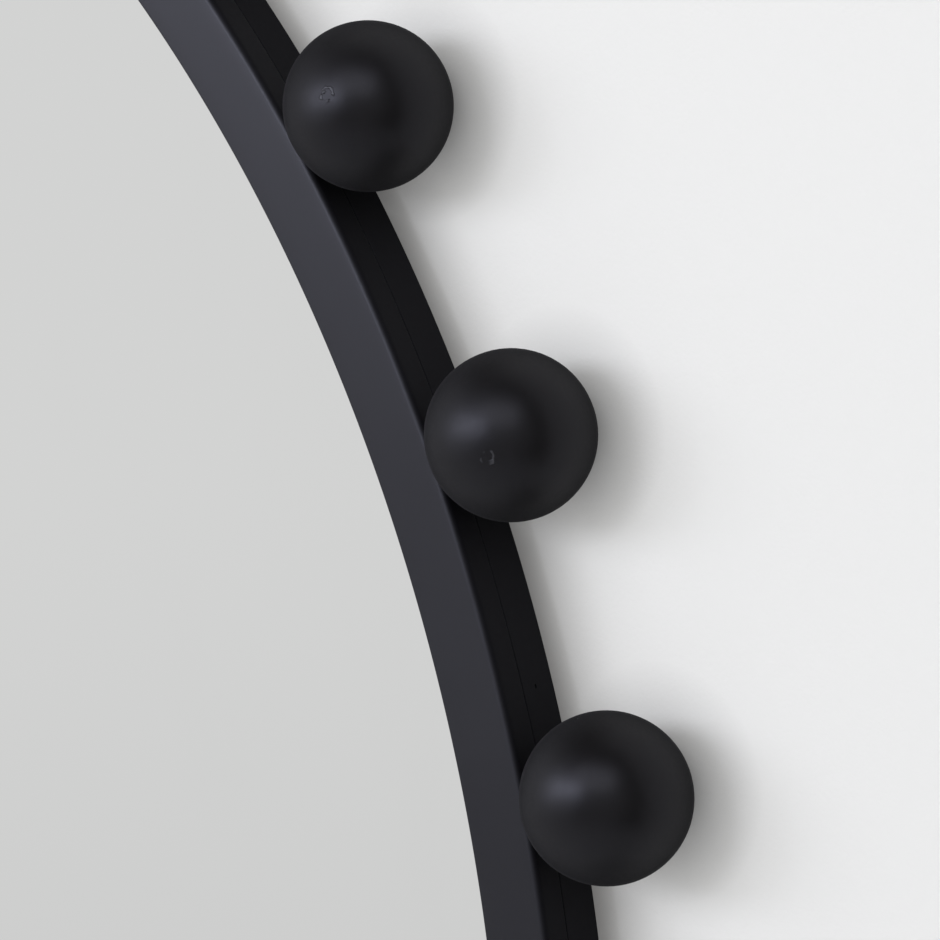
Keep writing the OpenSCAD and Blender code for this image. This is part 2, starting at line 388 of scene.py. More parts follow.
def new_tree(name, inputs):
    """A geometry tree that takes a base mesh and a material, and gives the shape."""
    inputs = {"Geometry": "Geometry", **inputs, "Material": "Material"}
    return new_group(name, "GeometryNodeTree", inputs, {"Geometry": "Geometry"})


def use_group(tree, name, inputs):
    """Places a shared group in a tree, and returns its outputs."""
    group = shared(name)
    kind = "ShaderNodeGroup" if group.bl_idname == "ShaderNodeTree" else "GeometryNodeGroup"
    return add(tree, kind, {"node_tree": group}, inputs).outputs


def shared(name):
    """A shader group or geometry tree by its short name, built once."""
    if name not in BUILT:
        BUILT[name] = GROUPS[name]()
    return BUILT[name]


BUILT = {}


# Shader groups, shared by the finishes

def paint_group():
    """Satin paint: a fine orange peel, slow changes of sheen, and a few specks of dust."""
    group, given, result = new_skin("Satin Paint", {
        "Colour": (0.01, 0.01, 0.01, 1), "Roughness": 0.44, "Peel Size": 1.2 * MM,
        "Peel Depth": 0.003 * MM, "Speck Spacing": 14 * MM,
    })
    where, spacing = place_on(group), given["Speck Spacing"]
    peel = noise(group, where, given["Peel Size"], 3.0)
    inputs = {"Vector": where, "Scale": over(group, 1.0, spacing)}
    cells = add(group, "ShaderNodeTexVoronoi", {"feature": "F1"}, inputs)
    far = times(group, cells.outputs["Distance"], spacing)
    speck = ramp(group, far, 0.10 * MM, 0.24 * MM, 1.0, 0.0)
    slow = noise(group, where, 35 * MM, 3.0)
    tone = mixed(group, ramp(group, slow, 0.3, 0.7, 0.0, 0.30), given["Colour"], PALER_PAINT)
    join(group, mixed(group, times(group, speck, 0.5), tone, DUST), result["Colour"])
    sheen = ramp(group, slow, 0.3, 0.7, -0.02, 0.02)
    fine_sheen = ramp(group, peel, 0.3, 0.7, -0.015, 0.015)
    join(group, plus(group, given["Roughness"], plus(group, sheen, fine_sheen)), result["Roughness"])
    emboss(group, plus(group, peel, times(group, speck, 2.0)), given["Peel Depth"], result["Normal"])
    return group


def filler_group():
    """A patch of filler: a raised rim that isn't closed, with a nick beside it."""
    inputs, outputs = {"Centre": (0, 0, 0), "Size": 1.7 * MM}, {"Height": "Float", "Mask": "Float"}
    group, given, result = new_group("Filler Mark", "ShaderNodeTree", inputs, outputs)
    where, centre, size = place_on(group), given["Centre"], given["Size"]
    bent = times(group, noise(group, where, 1.6 * MM), size)
    away = plus(group, vectors(group, "DISTANCE", where, centre), times(group, bent, 0.7))
    share = over(group, away, size)
    line = ramp(group, maths(group, "ABSOLUTE", minus(group, share, 1.0)), 0.05, 0.16, 1.0, 0.0)
    broken = ramp(group, noise(group, where, 1.9 * MM, 0.0), 0.42, 0.55)
    inside = ramp(group, share, 0.75, 1.0, 1.0, 0.0)
    from_nick = vectors(group, "DISTANCE", where, vectors(group, "ADD", centre, NICK))
    nick = ramp(group, from_nick, 0.3 * MM, 0.7 * MM, 1.0, 0.0)
    rim = maths(group, "MAXIMUM", times(group, line, broken), nick)
    join(group, minus(group, rim, times(group, inside, 0.35)), result["Height"])
    join(group, rim, result["Mask"])
    return group


def fibre_group():
    """Pressed fibre: matted strands and flecks, as on hardboard, fibreboard and card."""
    group, given, result = new_skin("Pressed Fibre", {
        "Colour": (0.3, 0.2, 0.1, 1), "Dark": (0.1, 0.06, 0.03, 1), "Fibre Size": 1.5 * MM, "Roughness": 0.7,
    })
    where = place_on(group)
    strands = []
    for stretch in ((0.25, 1.0, 1.0), (1.0, 1.0, 0.25)):
        laid = vectors(group, "MULTIPLY", where, stretch)
        strands.append(noise(group, laid, given["Fibre Size"], 4.0, 0.65, 1.2))
    matted = maths(group, "MAXIMUM", *strands)
    colour = mixed(group, ramp(group, matted, 0.42, 0.75), given["Dark"], given["Colour"])
    shade = ramp(group, noise(group, where, 60 * MM, 3.0), 0.3, 0.7, 0.82, 1.08)
    join(group, scaled(group, colour, shade), result["Colour"])
    smoother = ramp(group, matted, 0.4, 0.7, 0.08, -0.08)
    join(group, plus(group, given["Roughness"], smoother), result["Roughness"])
    emboss(group, matted, 0.06 * MM, result["Normal"])
    return group


def plating_group():
    """Zinc plating: cloudy sheen, fine scratches and dull spots."""
    group, given, result = new_skin("Zinc Plating", {
        "Colour": (0.56, 0.56, 0.54, 1), "Roughness": 0.34, "Scratch Size": 0.25 * MM,
    })
    where = place_on(group)
    cloudy = noise(group, where, 3.5 * MM, 3.0)
    lines = noise(group, vectors(group, "MULTIPLY", where, (1.0, 1.0, 0.12)), given["Scratch Size"])
    dull = mixed(group, ramp(group, cloudy, 0.35, 0.75, 0.0, 0.55), given["Colour"], DULL_ZINC)
    join(group, dull, result["Colour"])
    rough = plus(group, given["Roughness"], ramp(group, cloudy, 0.3, 0.7, -0.06, 0.14))
    join(group, plus(group, rough, ramp(group, lines, 0.4, 0.7, 0.0, 0.06)), result["Roughness"])
    emboss(group, lines, 0.006 * MM, result["Normal"])
    return group


# Materials

def new_material(name, **constants):
    """An empty material with a Principled BSDF, on whose sockets the constants are set."""
    material = bpy.data.materials.new(name)
    material.use_nodes = True
    tree = material.node_tree
    shader = tree.nodes["Principled BSDF"]
    for label, value in constants.items():
        shader.inputs[label.replace("_", " ")].default_value = value
    return material, tree, shader.inputs


def coated(name, group, inputs, **constants):
    """A material whose colour, roughness and normal come from a shared group."""
    material, tree, shader = new_material(name, **constants)
    skin = use_group(tree, group, inputs)
    for label, socket in (("Colour", "Base Color"), ("Roughness", "Roughness"), ("Normal", "Normal")):
        join(tree, skin[label], shader[socket])
    return material


def slanted(tree, roughness):
    """Satin paint scatters more where it is seen at a slant."""
    slant = maths(tree, "POWER", add(tree, "ShaderNodeLayerWeight").outputs["Facing"], 1.6)
    return maths(tree, "MINIMUM", plus(tree, roughness, times(tree, slant, SLANT_DULLING)), 0.95)


def reach_from_axis(tree, place):
    """How far a place is from the mirror's axis."""
    squares = [maths(tree, "POWER", place[axis], 2.0) for axis in "XZ"]
    return maths(tree, "SQRT", plus(tree, *squares))


def ring_paint(finish):
    """Satin black paint on the front ring, drier at its side."""
    material, tree, shader = new_material("ring_paint", Specular_Tint=PAINT_TINT)
    inputs = {"Colour": finish.ring_colour, "Roughness": finish.paint_roughness - FACE_SMOOTHER}
    paint = use_group(tree, "paint", inputs)
    reach = reach_from_axis(tree, parts(tree, place_on(tree)))
    inner, outer = RIM - 1.3 * MM, RIM - 0.1 * MM
    dryness = ramp(tree, reach, inner, outer, 0.03, 0.22)
    join(tree, paint["Colour"], shader["Base Color"])
    join(tree, ramp(tree, reach, inner, outer, FACE_LEVEL, DRY_LEVEL), shader["Specular IOR Level"])
    join(tree, plus(tree, paint["Roughness"], dryness), shader["Roughness"])
    join(tree, paint["Normal"], shader["Normal"])
    return material


def back_ring_finish(finish):
    """The same paint at the side, and bare fibreboard with overspray at the back."""
    material, tree, shader = new_material(
        "back_ring_finish", Specular_IOR_Level=DRY_LEVEL, Specular_Tint=PAINT_TINT
    )
    paint = use_group(tree, "paint", {"Colour": finish.ring_colour, "Roughness": finish.paint_roughness})
    fibre = use_group(tree, "fibre", {
        "Colour": finish.fibre_colour, "Dark": DARK_FIBREBOARD, "Fibre Size": 1.1 * MM, "Roughness": 0.8,
    })
    where = place_on(tree)
    place = parts(tree, where)
    reach = reach_from_axis(tree, place)
    drift = ramp(tree, noise(tree, where, 26 * MM, 4.0, 0.65), 0.25, 0.75, -5 * MM, 5 * MM)
    sprayed = ramp(tree, plus(tree, reach, drift), RIM - 13 * MM, RIM - 3 * MM)
    grain = noise(tree, where, 0.5 * MM)
    sprayed = ramp(tree, plus(tree, sprayed, times(tree, grain, 0.5)), 0.45, 0.85)
    at_side = ramp(tree, place["Y"], BACK_Y - 1.2 * MM, BACK_Y - 0.2 * MM, 1.0, 0.0)
    outer = ramp(tree, reach, RIM - 3 * MM, RIM - 1.5 * MM)
    painted = maths(tree, "MAXIMUM", sprayed, times(tree, at_side, outer))
    join(tree, mixed(tree, painted, fibre["Colour"], paint["Colour"]), shader["Base Color"])
    rough = ramp(tree, painted, 0.0, 1.0, fibre["Roughness"], paint["Roughness"], "LINEAR")
    join(tree, slanted(tree, rough), shader["Roughness"])
    inputs = {0: painted, 4: fibre["Normal"], 5: paint["Normal"]}
    normal = add(tree, "ShaderNodeMix", {"data_type": "VECTOR"}, inputs).outputs[1]
    join(tree, vectors(tree, "NORMALIZE", normal), shader["Normal"])
    return material


def ball_paint(finish, balls):
    """Satin black paint on the balls, with the filler marks that shine through it."""
    material, tree, shader = new_material(
        "ball_paint", Specular_IOR_Level=BALL_LEVEL, Specular_Tint=PAINT_TINT
    )
    rough = finish.paint_roughness - BALL_SMOOTHER
    inputs = {"Colour": finish.ball_colour, "Roughness": rough, "Peel Size": 0.9 * MM}
    paint = use_group(tree, "paint", inputs)
    centre = add(tree, "ShaderNodeAttribute", {"attribute_name": "mark_centre"}).outputs["Vector"]
    mark = use_group(tree, "filler", {"Centre": centre, "Size": balls.mark_size})
    colour = mixed(tree, times(tree, mark["Mask"], 0.5), paint["Colour"], FILLER)
    join(tree, colour, shader["Base Color"])
    rough = minus(tree, paint["Roughness"], times(tree, mark["Mask"], 0.08))
    join(tree, slanted(tree, rough), shader["Roughness"])
    emboss(tree, mark["Height"], 0.12 * MM, shader["Normal"], Normal=paint["Normal"])
    return material


def silvered_glass(finish):
    """The mirror itself, with the faintest smears of cleaning."""
    material, tree, shader = new_material("silvered_glass", Metallic=1.0)
    wiped = noise(tree, vectors(tree, "MULTIPLY", place_on(tree), (1.0, 1.0, 0.45)), 45 * MM, 4.0, 0.6, 0.8)
    join(tree, ramp(tree, wiped, 0.45, 0.8, 0.0, 0.025), shader["Roughness"])
    dimmer = ramp(tree, wiped, 0.4, 0.8, 1.0, 0.993)
    join(tree, scaled(tree, tuple(finish.silver_colour[:3]), dimmer), shader["Base Color"])
    return material


def foam_tape():
    """Matt black foam."""
    inputs = {"Colour": FOAM, "Roughness": 0.9, "Peel Size": 0.4 * MM, "Peel Depth": 0.08 * MM}
    return coated("foam_tape", "paint", inputs, IOR=1.3)


def fibre_finish(name, colour, dark, size, roughness):
    """Card or hardboard."""
    inputs = {"Colour": colour, "Dark": dark, "Fibre Size": size, "Roughness": roughness}
    return coated(name, "fibre", inputs, IOR=1.4)


def plated_finish(name, colour, roughness, scratch=0.25 * MM):
    """Zinc plated or plain steel."""
    inputs = {"Colour": colour, "Roughness": roughness, "Scratch Size": scratch}
    return coated(name, "plating", inputs, Metallic=1.0)


def moulded_rubber(finish):
    """Matt rubber with a fine moulded skin."""
    inputs = {
        "Colour": finish.rubber_colour, "Roughness": 0.72, "Peel Size": 0.35 * MM,
        "Peel Depth": 0.02 * MM, "Speck Spacing": 5 * MM,
    }
    return coated("moulded_rubber", "paint", inputs, IOR=1.5)


def finish_of_stage(name, colour, glow, peel_size, peel_depth):
    """A plain painted backdrop that isn't seen from behind, made paler than its light makes it by a painted
    glow, which dims near the object as painted shade.
    """
    material, tree, shader = new_material(name, Roughness=0.75, Specular_IOR_Level=0.2)
    shader["Base Color"].default_value = colour
    emboss(tree, noise(tree, place_on(tree), peel_size, 3.0, 0.55), peel_depth, shader["Normal"])
    ray = add(tree, "ShaderNodeLightPath").outputs
    seen = maths(tree, "MAXIMUM", ray["Is Glossy Ray"], ray["Is Transmission Ray"])
    seen = times(tree, maths(tree, "MAXIMUM", ray["Is Camera Ray"], seen), glow)
    # Painted shade: the glow dims where the object is near, as under the balls and beside the frame's edge
    around = add(tree, "ShaderNodeAmbientOcclusion", {"samples": 12}, {"Distance": GLOW_REACH})
    strength = times(tree, seen, maths(tree, "POWER", around.outputs["AO"], GLOW_FADE))
    pale = add(tree, "ShaderNodeEmission", None, {"Color": (1, 1, 1, 1), "Strength": strength}).outputs[0]
    painted = tree.nodes["Principled BSDF"].outputs[0]
    front = add(tree, "ShaderNodeAddShader", None, {0: painted, 1: pale}).outputs[0]
    clear = add(tree, "ShaderNodeBsdfTransparent").outputs[0]
    behind = add(tree, "ShaderNodeNewGeometry").outputs["Backfacing"]
    chosen = add(tree, "ShaderNodeMixShader", None, {0: behind, 1: front, 2: clear}).outputs[0]
    join(tree, chosen, tree.nodes["Material Output"].inputs["Surface"])
    return material


# Geometry trees

def named(tree, name, data_type="FLOAT"):
    """A named attribute's value."""
    return shape(tree, "InputNamedAttribute", {"data_type": data_type}, Name=name)["Attribute"]


def sampled(tree, geometry, index, value, data_type="FLOAT"):
    """A value on a geometry's points, taken at an index."""
    settings = {"data_type": data_type, "domain": "POINT"}
    return shape(tree, "SampleIndex", settings, Geometry=geometry, Index=index, Value=value)["Value"]


def marked(tree, geometry, name):
    """Splits a geometry into the points that a named mark picks out, and the rest."""
    mark = named(tree, name, "BOOLEAN")
    split = shape(tree, "SeparateGeometry", {"domain": "POINT"}, Geometry=geometry, Selection=mark)
    return split["Selection"], split["Inverted"]


def gathered(tree, *geometries):
    """Several geometries as one."""
    node = add(tree, "GeometryNodeJoinGeometry")
    for geometry in geometries:
        join(tree, geometry, node.inputs[0])
    return node.outputs[0]


def cut_out(tree, whole, holes, solver):
    """A shape less the solids that cut it."""
    settings = {"operation": "DIFFERENCE", "solver": solver}
    return shape(tree, "MeshBoolean", settings, Mesh_1=whole, Mesh_2=holes)["Mesh"]


def facing_out(tree, place):
    """The turn that points Z away from the mirror's axis."""
    outward = vectors(tree, "NORMALIZE", vectors(tree, "MULTIPLY", place, (1.0, 0.0, 1.0)))
    return add(tree, "FunctionNodeAlignRotationToVector", {"axis": "Z"}, {"Vector": outward}).outputs[0]


def turned_ring(tree, given, outline):
    """An outline turned into a ring with a wandering seam, by the tree's own inputs."""
    return use_group(tree, "turned", {
        "Outline": outline, "Steps": given["Steps"], "Wander": given["Seam Wander"], "Seed": given["Seed"],
    })["Mesh"]


def end_tree(tree, geometry, given, result, sharp=35.0):
    """Ends a tree: realized, smooth except at sharp edges, and with its material."""
    real = shape(tree, "RealizeInstances", Geometry=geometry)[0]
    smooth = shape(tree, "SetShadeSmooth", {"domain": "FACE"}, Geometry=real)[0]
    bent = maths(tree, "GREATER_THAN", shape(tree, "InputMeshEdgeAngle")["Unsigned Angle"], radians(sharp))
    creased = shape(
        tree, "SetShadeSmooth", {"domain": "EDGE"}, Geometry=smooth, Selection=bent, Shade_Smooth=False
    )[0]
    finished = shape(tree, "SetMaterial", Geometry=creased, Material=given["Material"])[0]
    join(tree, finished, result["Geometry"])
    return tree


def turned_group():
    """Turns an outline of (radius, depth) points round the Y axis. Its seam points wander to and fro."""
    inputs = {"Outline": "Geometry", "Steps": 96, "Wander": 0.0, "Seed": 0.0}
    group, given, result = new_group("Turned", "GeometryNodeTree", inputs, {"Mesh": "Geometry"})
    outline, steps = given["Outline"], given["Steps"]
    count = shape(group, "AttributeDomainSize", {"component": "MESH"}, Geometry=outline)["Point Count"]
    grid = shape(group, "MeshGrid", Vertices_X=plus(group, steps, 1.0), Vertices_Y=count)["Mesh"]
    index = shape(group, "InputIndex")[0]
    along = maths(group, "MODULO", index, count)
    turn = maths(group, "FLOOR", over(group, index, count))
    angle = over(group, times(group, turn, 2 * pi), steps)
    across, up = maths(group, "COSINE", angle), maths(group, "SINE", angle)
    place = sampled(group, outline, along, shape(group, "InputPosition")[0], "FLOAT_VECTOR")
    place = parts(group, place)
    seam = sampled(group, outline, along, named(group, "seam"))
    ring = vector_of(group, X=across, Y=given["Seed"], Z=up)
    waves = add(group, "ShaderNodeTexNoise", None, {"Vector": ring, "Scale": 9.0, "Detail": 3.0})
    drift = ramp(group, waves.outputs["Fac"], 0.3, 0.7, -1.0, 1.0, "LINEAR")
    drift = times(group, times(group, drift, given["Wander"]), seam)
    spot = vector_of(
        group, X=times(group, place["X"], across), Y=plus(group, place["Y"], drift),
        Z=times(group, place["X"], up),
    )
    moved = shape(group, "SetPosition", Geometry=grid, Position=spot)[0]
    closed = shape(group, "MergeByDistance", Geometry=moved, Distance=0.001 * MM)[0]
    join(group, closed, result["Mesh"])
    return group


def front_ring_tree():
    """A plain turned ring with a wandering seam."""
    tree, given, result = new_tree("Front Ring", {"Steps": 720, "Seam Wander": 0.0, "Seed": 0.0})
    return end_tree(tree, turned_ring(tree, given, given["Geometry"]), given, result)


def back_ring_tree():
    """A turned ring, less the countersinks and pin holes at its marked places."""
    tree, given, result = new_tree("Turned Ring", {
        "Steps": 720, "Seam Wander": 0.0, "Seed": 0.0,
        "Countersink Radius": 3.3 * MM, "Pin Width": 0.5 * MM, "Pin Length": 1.2 * MM,
    })
    sinks, rest = marked(tree, given["Geometry"], "sink")
    pins, outline = marked(tree, rest, "pin")
    ring = turned_ring(tree, given, outline)
    radius, width = given["Countersink Radius"], given["Pin Width"]
    cone = shape(tree, "MeshCone", Vertices=40, Radius_Top=radius, Radius_Bottom=0.0, Depth=radius)["Mesh"]
    raised = shape(tree, "Transform", Geometry=cone, Rotation=(-pi / 2, 0, 0))[0]
    sunk = shape(tree, "InstanceOnPoints", Points=sinks, Instance=raised)[0]
    slit = shape(tree, "MeshCylinder", Vertices=16, Radius=times(tree, width, 0.5), Depth=2 * MM)["Mesh"]
    stretch = vector_of(tree, X=over(tree, given["Pin Length"], width), Y=1.0, Z=1.0)
    slit = shape(tree, "Transform", Geometry=slit, Scale=stretch)[0]
    facing = facing_out(tree, shape(tree, "InputPosition")[0])
    pinned = shape(tree, "InstanceOnPoints", Points=pins, Instance=slit, Rotation=facing)[0]
    holes = shape(tree, "RealizeInstances", Geometry=gathered(tree, sunk, pinned))[0]
    return end_tree(tree, cut_out(tree, ring, holes, "EXACT"), given, result)


def ball_tree():
    """A ball on each point, flat towards the frame's middle and a little uneven from sanding."""
    tree, given, result = new_tree("Painted Balls", {
        "Radius": 20 * MM, "Flat": 0.3 * MM, "Uneven": 0.04 * MM, "Detail": 5,
    })
    ball = shape(tree, "MeshIcoSphere", Radius=given["Radius"], Subdivisions=given["Detail"])["Mesh"]
    place = shape(tree, "InputPosition")[0]
    spot = parts(tree, place)
    height = maths(tree, "MAXIMUM", spot["Z"], minus(tree, given["Flat"], given["Radius"]))
    seated = vector_of(tree, X=spot["X"], Y=spot["Y"], Z=height)
    ball = shape(tree, "SetPosition", Geometry=ball, Position=seated)[0]
    axis_turn = {"Axis": (0, 0, 1), "Angle": named(tree, "twist")}
    twist = add(tree, "FunctionNodeAxisAngleToRotation", None, axis_turn).outputs[0]
    turns = {"Rotation": facing_out(tree, place), "Rotate By": twist}
    spun = add(tree, "FunctionNodeRotateRotation", {"rotation_space": "LOCAL"}, turns).outputs[0]
    placed = shape(tree, "InstanceOnPoints", Points=given["Geometry"], Instance=ball, Rotation=spun)[0]
    real = shape(tree, "RealizeInstances", Geometry=placed)[0]
    dip = ramp(tree, noise(tree, place, 16 * MM, 1.0), 0.3, 0.7, -1.0, 0.0)
    inward = scaled(tree, shape(tree, "InputNormal")[0], times(tree, dip, given["Uneven"]))
    sanded = shape(tree, "SetPosition", Geometry=real, Offset=inward)[0]
    return end_tree(tree, sanded, given, result, 60.0)


def stud_tree():
    """A turned stud, such as a screw or a bumper, on each marked place, with a cross in its head if asked."""
    tree, given, result = new_tree("Studs", {
        "Steps": 40, "Cross Span": 0.0, "Cross Width": 0.9 * MM, "Cross Depth": 1.0 * MM, "Head Top": 0.0,
    })
    places, outline = marked(tree, given["Geometry"], "place")
    stud = use_group(tree, "turned", {"Outline": outline, "Steps": given["Steps"]})["Mesh"]
    span, depth = given["Cross Span"], times(tree, given["Cross Depth"], 2.0)
    at_top = vector_of(tree, Y=given["Head Top"])
    arms = []
    for long_side, short_side in ("XZ", "ZX"):
        size = vector_of(tree, **{long_side: span, short_side: given["Cross Width"], "Y": depth})
        bar = shape(tree, "MeshCube", Size=size)["Mesh"]
        arms.append(shape(tree, "Transform", Geometry=bar, Translation=at_top)[0])
    cut = cut_out(tree, stud, gathered(tree, *arms), "MANIFOLD")
    choice = {"Switch": maths(tree, "GREATER_THAN", span, 0.0), "False": stud, "True": cut}
    chosen = add(tree, "GeometryNodeSwitch", {"input_type": "GEOMETRY"}, choice).outputs[0]
    turn = vector_of(tree, Y=named(tree, "twist"))
    placed = shape(tree, "InstanceOnPoints", Points=places, Instance=chosen, Rotation=turn)[0]
    return end_tree(tree, placed, given, result)


def wire_tree():
    """A round wire along a closed line."""
    tree, given, result = new_tree("Bent Wire", {"Wire Radius": 1.5 * MM, "Sides": 24})
    line = shape(tree, "MeshToCurve", Mesh=given["Geometry"])[0]
    section = shape(
        tree, "CurvePrimitiveCircle", Resolution=given["Sides"], Radius=given["Wire Radius"]
    )["Curve"]
    swept = shape(tree, "CurveToMesh", Curve=line, Profile_Curve=section)[0]
    return end_tree(tree, swept, given, result)


GROUPS = {
    "paint": paint_group, "filler": filler_group, "fibre": fibre_group, "plating": plating_group,
    "turned": turned_group, "front ring": front_ring_tree, "back ring": back_ring_tree,
    "balls": ball_tree, "studs": stud_tree, "wire": wire_tree,
}


def grow(name, base, tree_name, values):
    """Runs a shared tree on a base mesh, and returns an object with the result as its plain mesh."""
    piece = new_object(name, base)
    tree = shared(tree_name)
    modifier = piece.modifiers.new("Tree", "NODES")
    modifier.node_group = tree
    sockets = {s.name: s.identifier for s in tree.interface.items_tree if s.in_out == "INPUT"}
    for label, value in values.items():
        modifier[sockets[label]] = value
    depsgraph = bpy.context.evaluated_depsgraph_get()
    result = bpy.data.meshes.new_from_object(
        piece.evaluated_get(depsgraph), preserve_all_data_layers=True, depsgraph=depsgraph
    )
    piece.modifiers.remove(modifier)
    piece.data = result
    result.name = name
    bpy.data.meshes.remove(base)
    return piece


# Help with meshes and pieces

def new_mesh(name, points, edges=(), faces=()):
    """A mesh of points, and the edges or faces between them."""
    mesh = bpy.data.meshes.new(name)
    mesh.from_pydata(points, edges, faces)
    return mesh


def new_object(name, data):
    """An object in the scene, at the origin."""
    piece = bpy.data.objects.new(name, data)
    bpy.context.scene.collection.objects.link(piece)
    return piece


def set_marks(mesh, marks):
    """Writes named point attributes: booleans, numbers or vectors."""
    for name, values in marks.items():
        if isinstance(values[0], Vector):
            flat = [x for vector in values for x in vector]
            mesh.attributes.new(name, "FLOAT_VECTOR", "POINT").data.foreach_set("vector", flat)
        else:
            kind = "BOOLEAN" if isinstance(values[0], bool) else "FLOAT"
            mesh.attributes.new(name, kind, "POINT").data.foreach_set("value", values)


def outline_mesh(name, outline, seam=(), places=None, twist=0.0):
    """A closed outline, its seam points marked, with loose points under each mark of places after it.

    An outline that starts and ends on the axis stays open, and encloses a solid when it is turned.
    """
    solid = outline[0][0] == outline[-1][0] == 0.0
    closing = [] if solid else [outline[0]]
    points = [(r, y, 0.0) for r, y in list(outline) + closing]
    count = len(points)
    spans = {}
    for mark, spots in (places or {}).items():
        spans[mark] = (len(points), len(points) + len(spots))
        points += [tuple(spot) for spot in spots]
    mesh = new_mesh(name, points, [(i, i + 1) for i in range(count - 1)])
    total = len(points)
    chooser = Random(SEED)
    marks = {mark: [low <= i < high for i in range(total)] for mark, (low, high) in spans.items()}
    marks["seam"] = [1.0 if i in seam else 0.0 for i in range(total)]
    marks["twist"] = [chooser.uniform(0, twist) if i >= count else 0.0 for i in range(total)]
    set_marks(mesh, marks)
    return mesh


def middle(box, y):
    """The middle of a box seen from behind, at a depth of y."""
    lo, hi = box
    return ((lo.x + hi.x) / 2, y, (lo.z + hi.z) / 2)


def arc(centre, radius, start, end, steps=6):
    """Points of a round stretch of an outline, from one angle to another, in degrees."""
    angles = [radians(start + (end - start) * i / steps) for i in range(steps + 1)]
    return [(centre[0] + radius * cos(a), centre[1] + radius * sin(a)) for a in angles]


def solids_of(node):
    """The lowest and highest corner of each separate solid of a CAD node, in order round the frame."""
    welded = bmesh.new()
    welded.from_mesh(frame["nodes"][node].data)
    bmesh.ops.remove_doubles(welded, verts=welded.verts, dist=0.001 * MM)
    boxes = []
    seen = set()
    for start in welded.verts:
        if start.index in seen:
            continue
        seen.add(start.index)
        solid = [start]
        for vertex in solid:
            for edge in vertex.link_edges:
                other = edge.other_vert(vertex)
                if other.index not in seen:
                    seen.add(other.index)
                    solid.append(other)
        corners = [[pick(v.co[axis] for v in solid) for axis in range(3)] for pick in (min, max)]
        boxes.append((Vector(corners[0]), Vector(corners[1])))
    welded.free()
    return sorted(boxes, key=lambda box: atan2(box[0].z + box[1].z, box[0].x + box[1].x))


def finish_piece(piece, material, body, slot, *nodes):
    """Gives a piece its material and body, and hides the CAD nodes that it stands for. The slot is not used.
    """
    if material is not None:
        piece.data.materials.clear()
        piece.data.materials.append(material)
    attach(piece, body)
    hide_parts(*nodes)


def dress_node(node, material):
    """Gives a CAD node that stays its material."""
    for spot in frame["nodes"][node].material_slots:
        spot.material = material


# The rings

def face_stations(inner, outer, crown):
    """Points across the front face, which dips beside its edges as sanded board does."""
    inner_reach, outer_reach = 5 * MM, 2.5 * MM
    stations = []
    for share in (0.0, 0.15, 0.35, 0.6, 1.0):
        stations.append((inner + inner_reach * share, FACE_Y + crown * (1 - share) ** 2))
    stations.append(((inner + outer) / 2, FACE_Y))
    for share in (1.0, 0.6, 0.3, 0.12, 0.0):
        stations.append((outer - outer_reach * share, FACE_Y + crown * (1 - share) ** 2))
    return stations


def front_outline(sizes):
    """The front ring's section, and which of its points belong to the seam."""
    sight = RIM - sizes.face_width
    soft, edge, crown, gap = sizes.soft_round, sizes.edge_round, sizes.crown, sizes.seam_gap / 2
    rebate = GLASS_RIM + GLASS_GAP
    outline = arc((sight + soft, FACE_Y + soft + crown), soft, 180, 262)
    outline += face_stations(sight + soft, RIM - edge, crown)
    outline += arc((RIM - edge, FACE_Y + edge + crown), edge, 278, 360, 8)
    outline += [(RIM, FACE_Y + edge + crown + 0.5 * MM), (RIM, SEAM_Y - gap - SEAM_EDGE - 0.3 * MM)]
    first = len(outline)
    outline += arc((RIM - SEAM_EDGE, SEAM_Y - gap - SEAM_EDGE), SEAM_EDGE, 0, 90, 4)
    outline += [(RIM - SEAM_DEPTH, SEAM_Y - gap)]
    last = len(outline)
    outline += [
        (RIM - SEAM_DEPTH - 0.1 * MM, SEAM_Y),
        (rebate, SEAM_Y),
        (rebate, LIP_Y),
        (sight + 0.1 * MM, LIP_Y),
        (sight, LIP_Y - 0.1 * MM),
    ]
    return outline, range(first, last)


def back_outline(sizes):
    """The back ring's section, and which of its points belong to the seam."""
    soft, gap = sizes.soft_round, sizes.seam_gap / 2
    rail, pocket, sharp = SHEET_RIM + SHEET_GAP, BOARD_HI.x + BOARD_GAP, 0.15 * MM
    outline = [(rail, SEAM_Y), (RIM - SEAM_DEPTH - 0.1 * MM, SEAM_Y)]
    first = len(outline)
    outline += [(RIM - SEAM_DEPTH, SEAM_Y + gap)]
    outline += arc((RIM - SEAM_EDGE, SEAM_Y + gap + SEAM_EDGE), SEAM_EDGE, 270, 360, 4)
    last = len(outline)
    outline += [(RIM, SEAM_Y + gap + SEAM_EDGE + 0.3 * MM), (RIM, BACK_Y - soft - 0.4 * MM)]
    outline += arc((RIM - soft, BACK_Y - soft), soft, 0, 90)
    outline += [
        (RIM - soft - 0.4 * MM, BACK_Y),
        (pocket + sharp, BACK_Y),
        (pocket, BACK_Y - sharp),
        (pocket, BOARD_LO.y),
        (rail + sharp, BOARD_LO.y),
        (rail, BOARD_LO.y - sharp),
    ]
    return outline, range(first, last)


def pin_places():
    """Where pins hold the back ring to the front one, at its side: the first one is the one that shows."""
    angles = [radians(PIN_ANGLE + 360 / PIN_COUNT * i) for i in range(PIN_COUNT)]
    return [(RIM * cos(a), FACE_Y + PIN_DEPTH, RIM * sin(a)) for a in angles]


